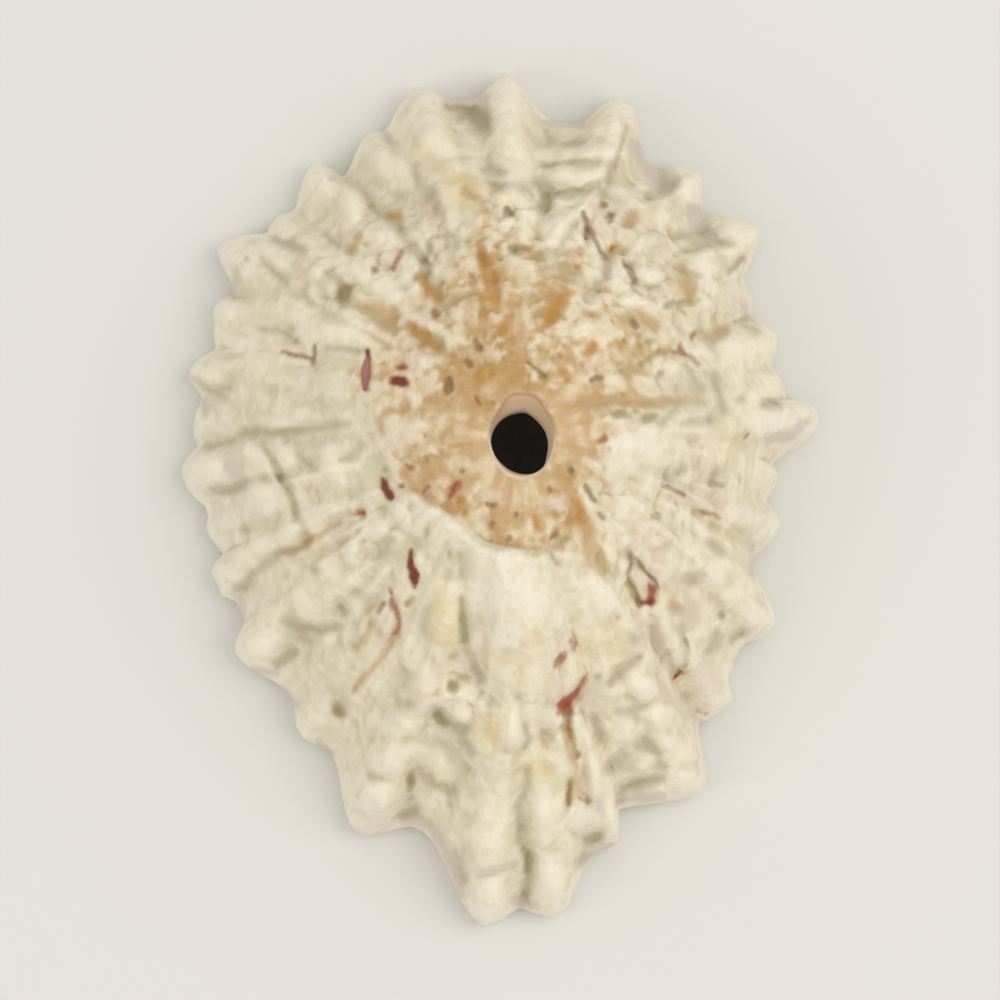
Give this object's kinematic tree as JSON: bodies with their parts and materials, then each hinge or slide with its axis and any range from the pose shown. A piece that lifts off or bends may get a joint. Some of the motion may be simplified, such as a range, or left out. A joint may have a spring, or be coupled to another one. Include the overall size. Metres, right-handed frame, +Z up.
{
  "type": "keyhole limpet shell",
  "caption": "Worn keyhole limpet shell: an oval ribbed cone with nodules, a scalloped spiny margin, an eroded crater round the open hole at its top and a smooth hollow underside.",
  "frame": {"origin": "on the surface that the shell rests on, under the middle of its outline", "axes": "+Z up through the hole; +Y along the shell's length, away from its long pointed tail; +X across its width"},
  "size_m": [0.0266, 0.036, 0.0128],
  "materials": {
    "worn_shell": "dense calcium carbonate, beach-worn: cream and off-white with grey-green valleys, a tan and orange worn apex and small dark red flecks, satin to matt"
  },
  "bodies": {
    "root": {"shell": "worn_shell"}
  },
  "joints": []
}
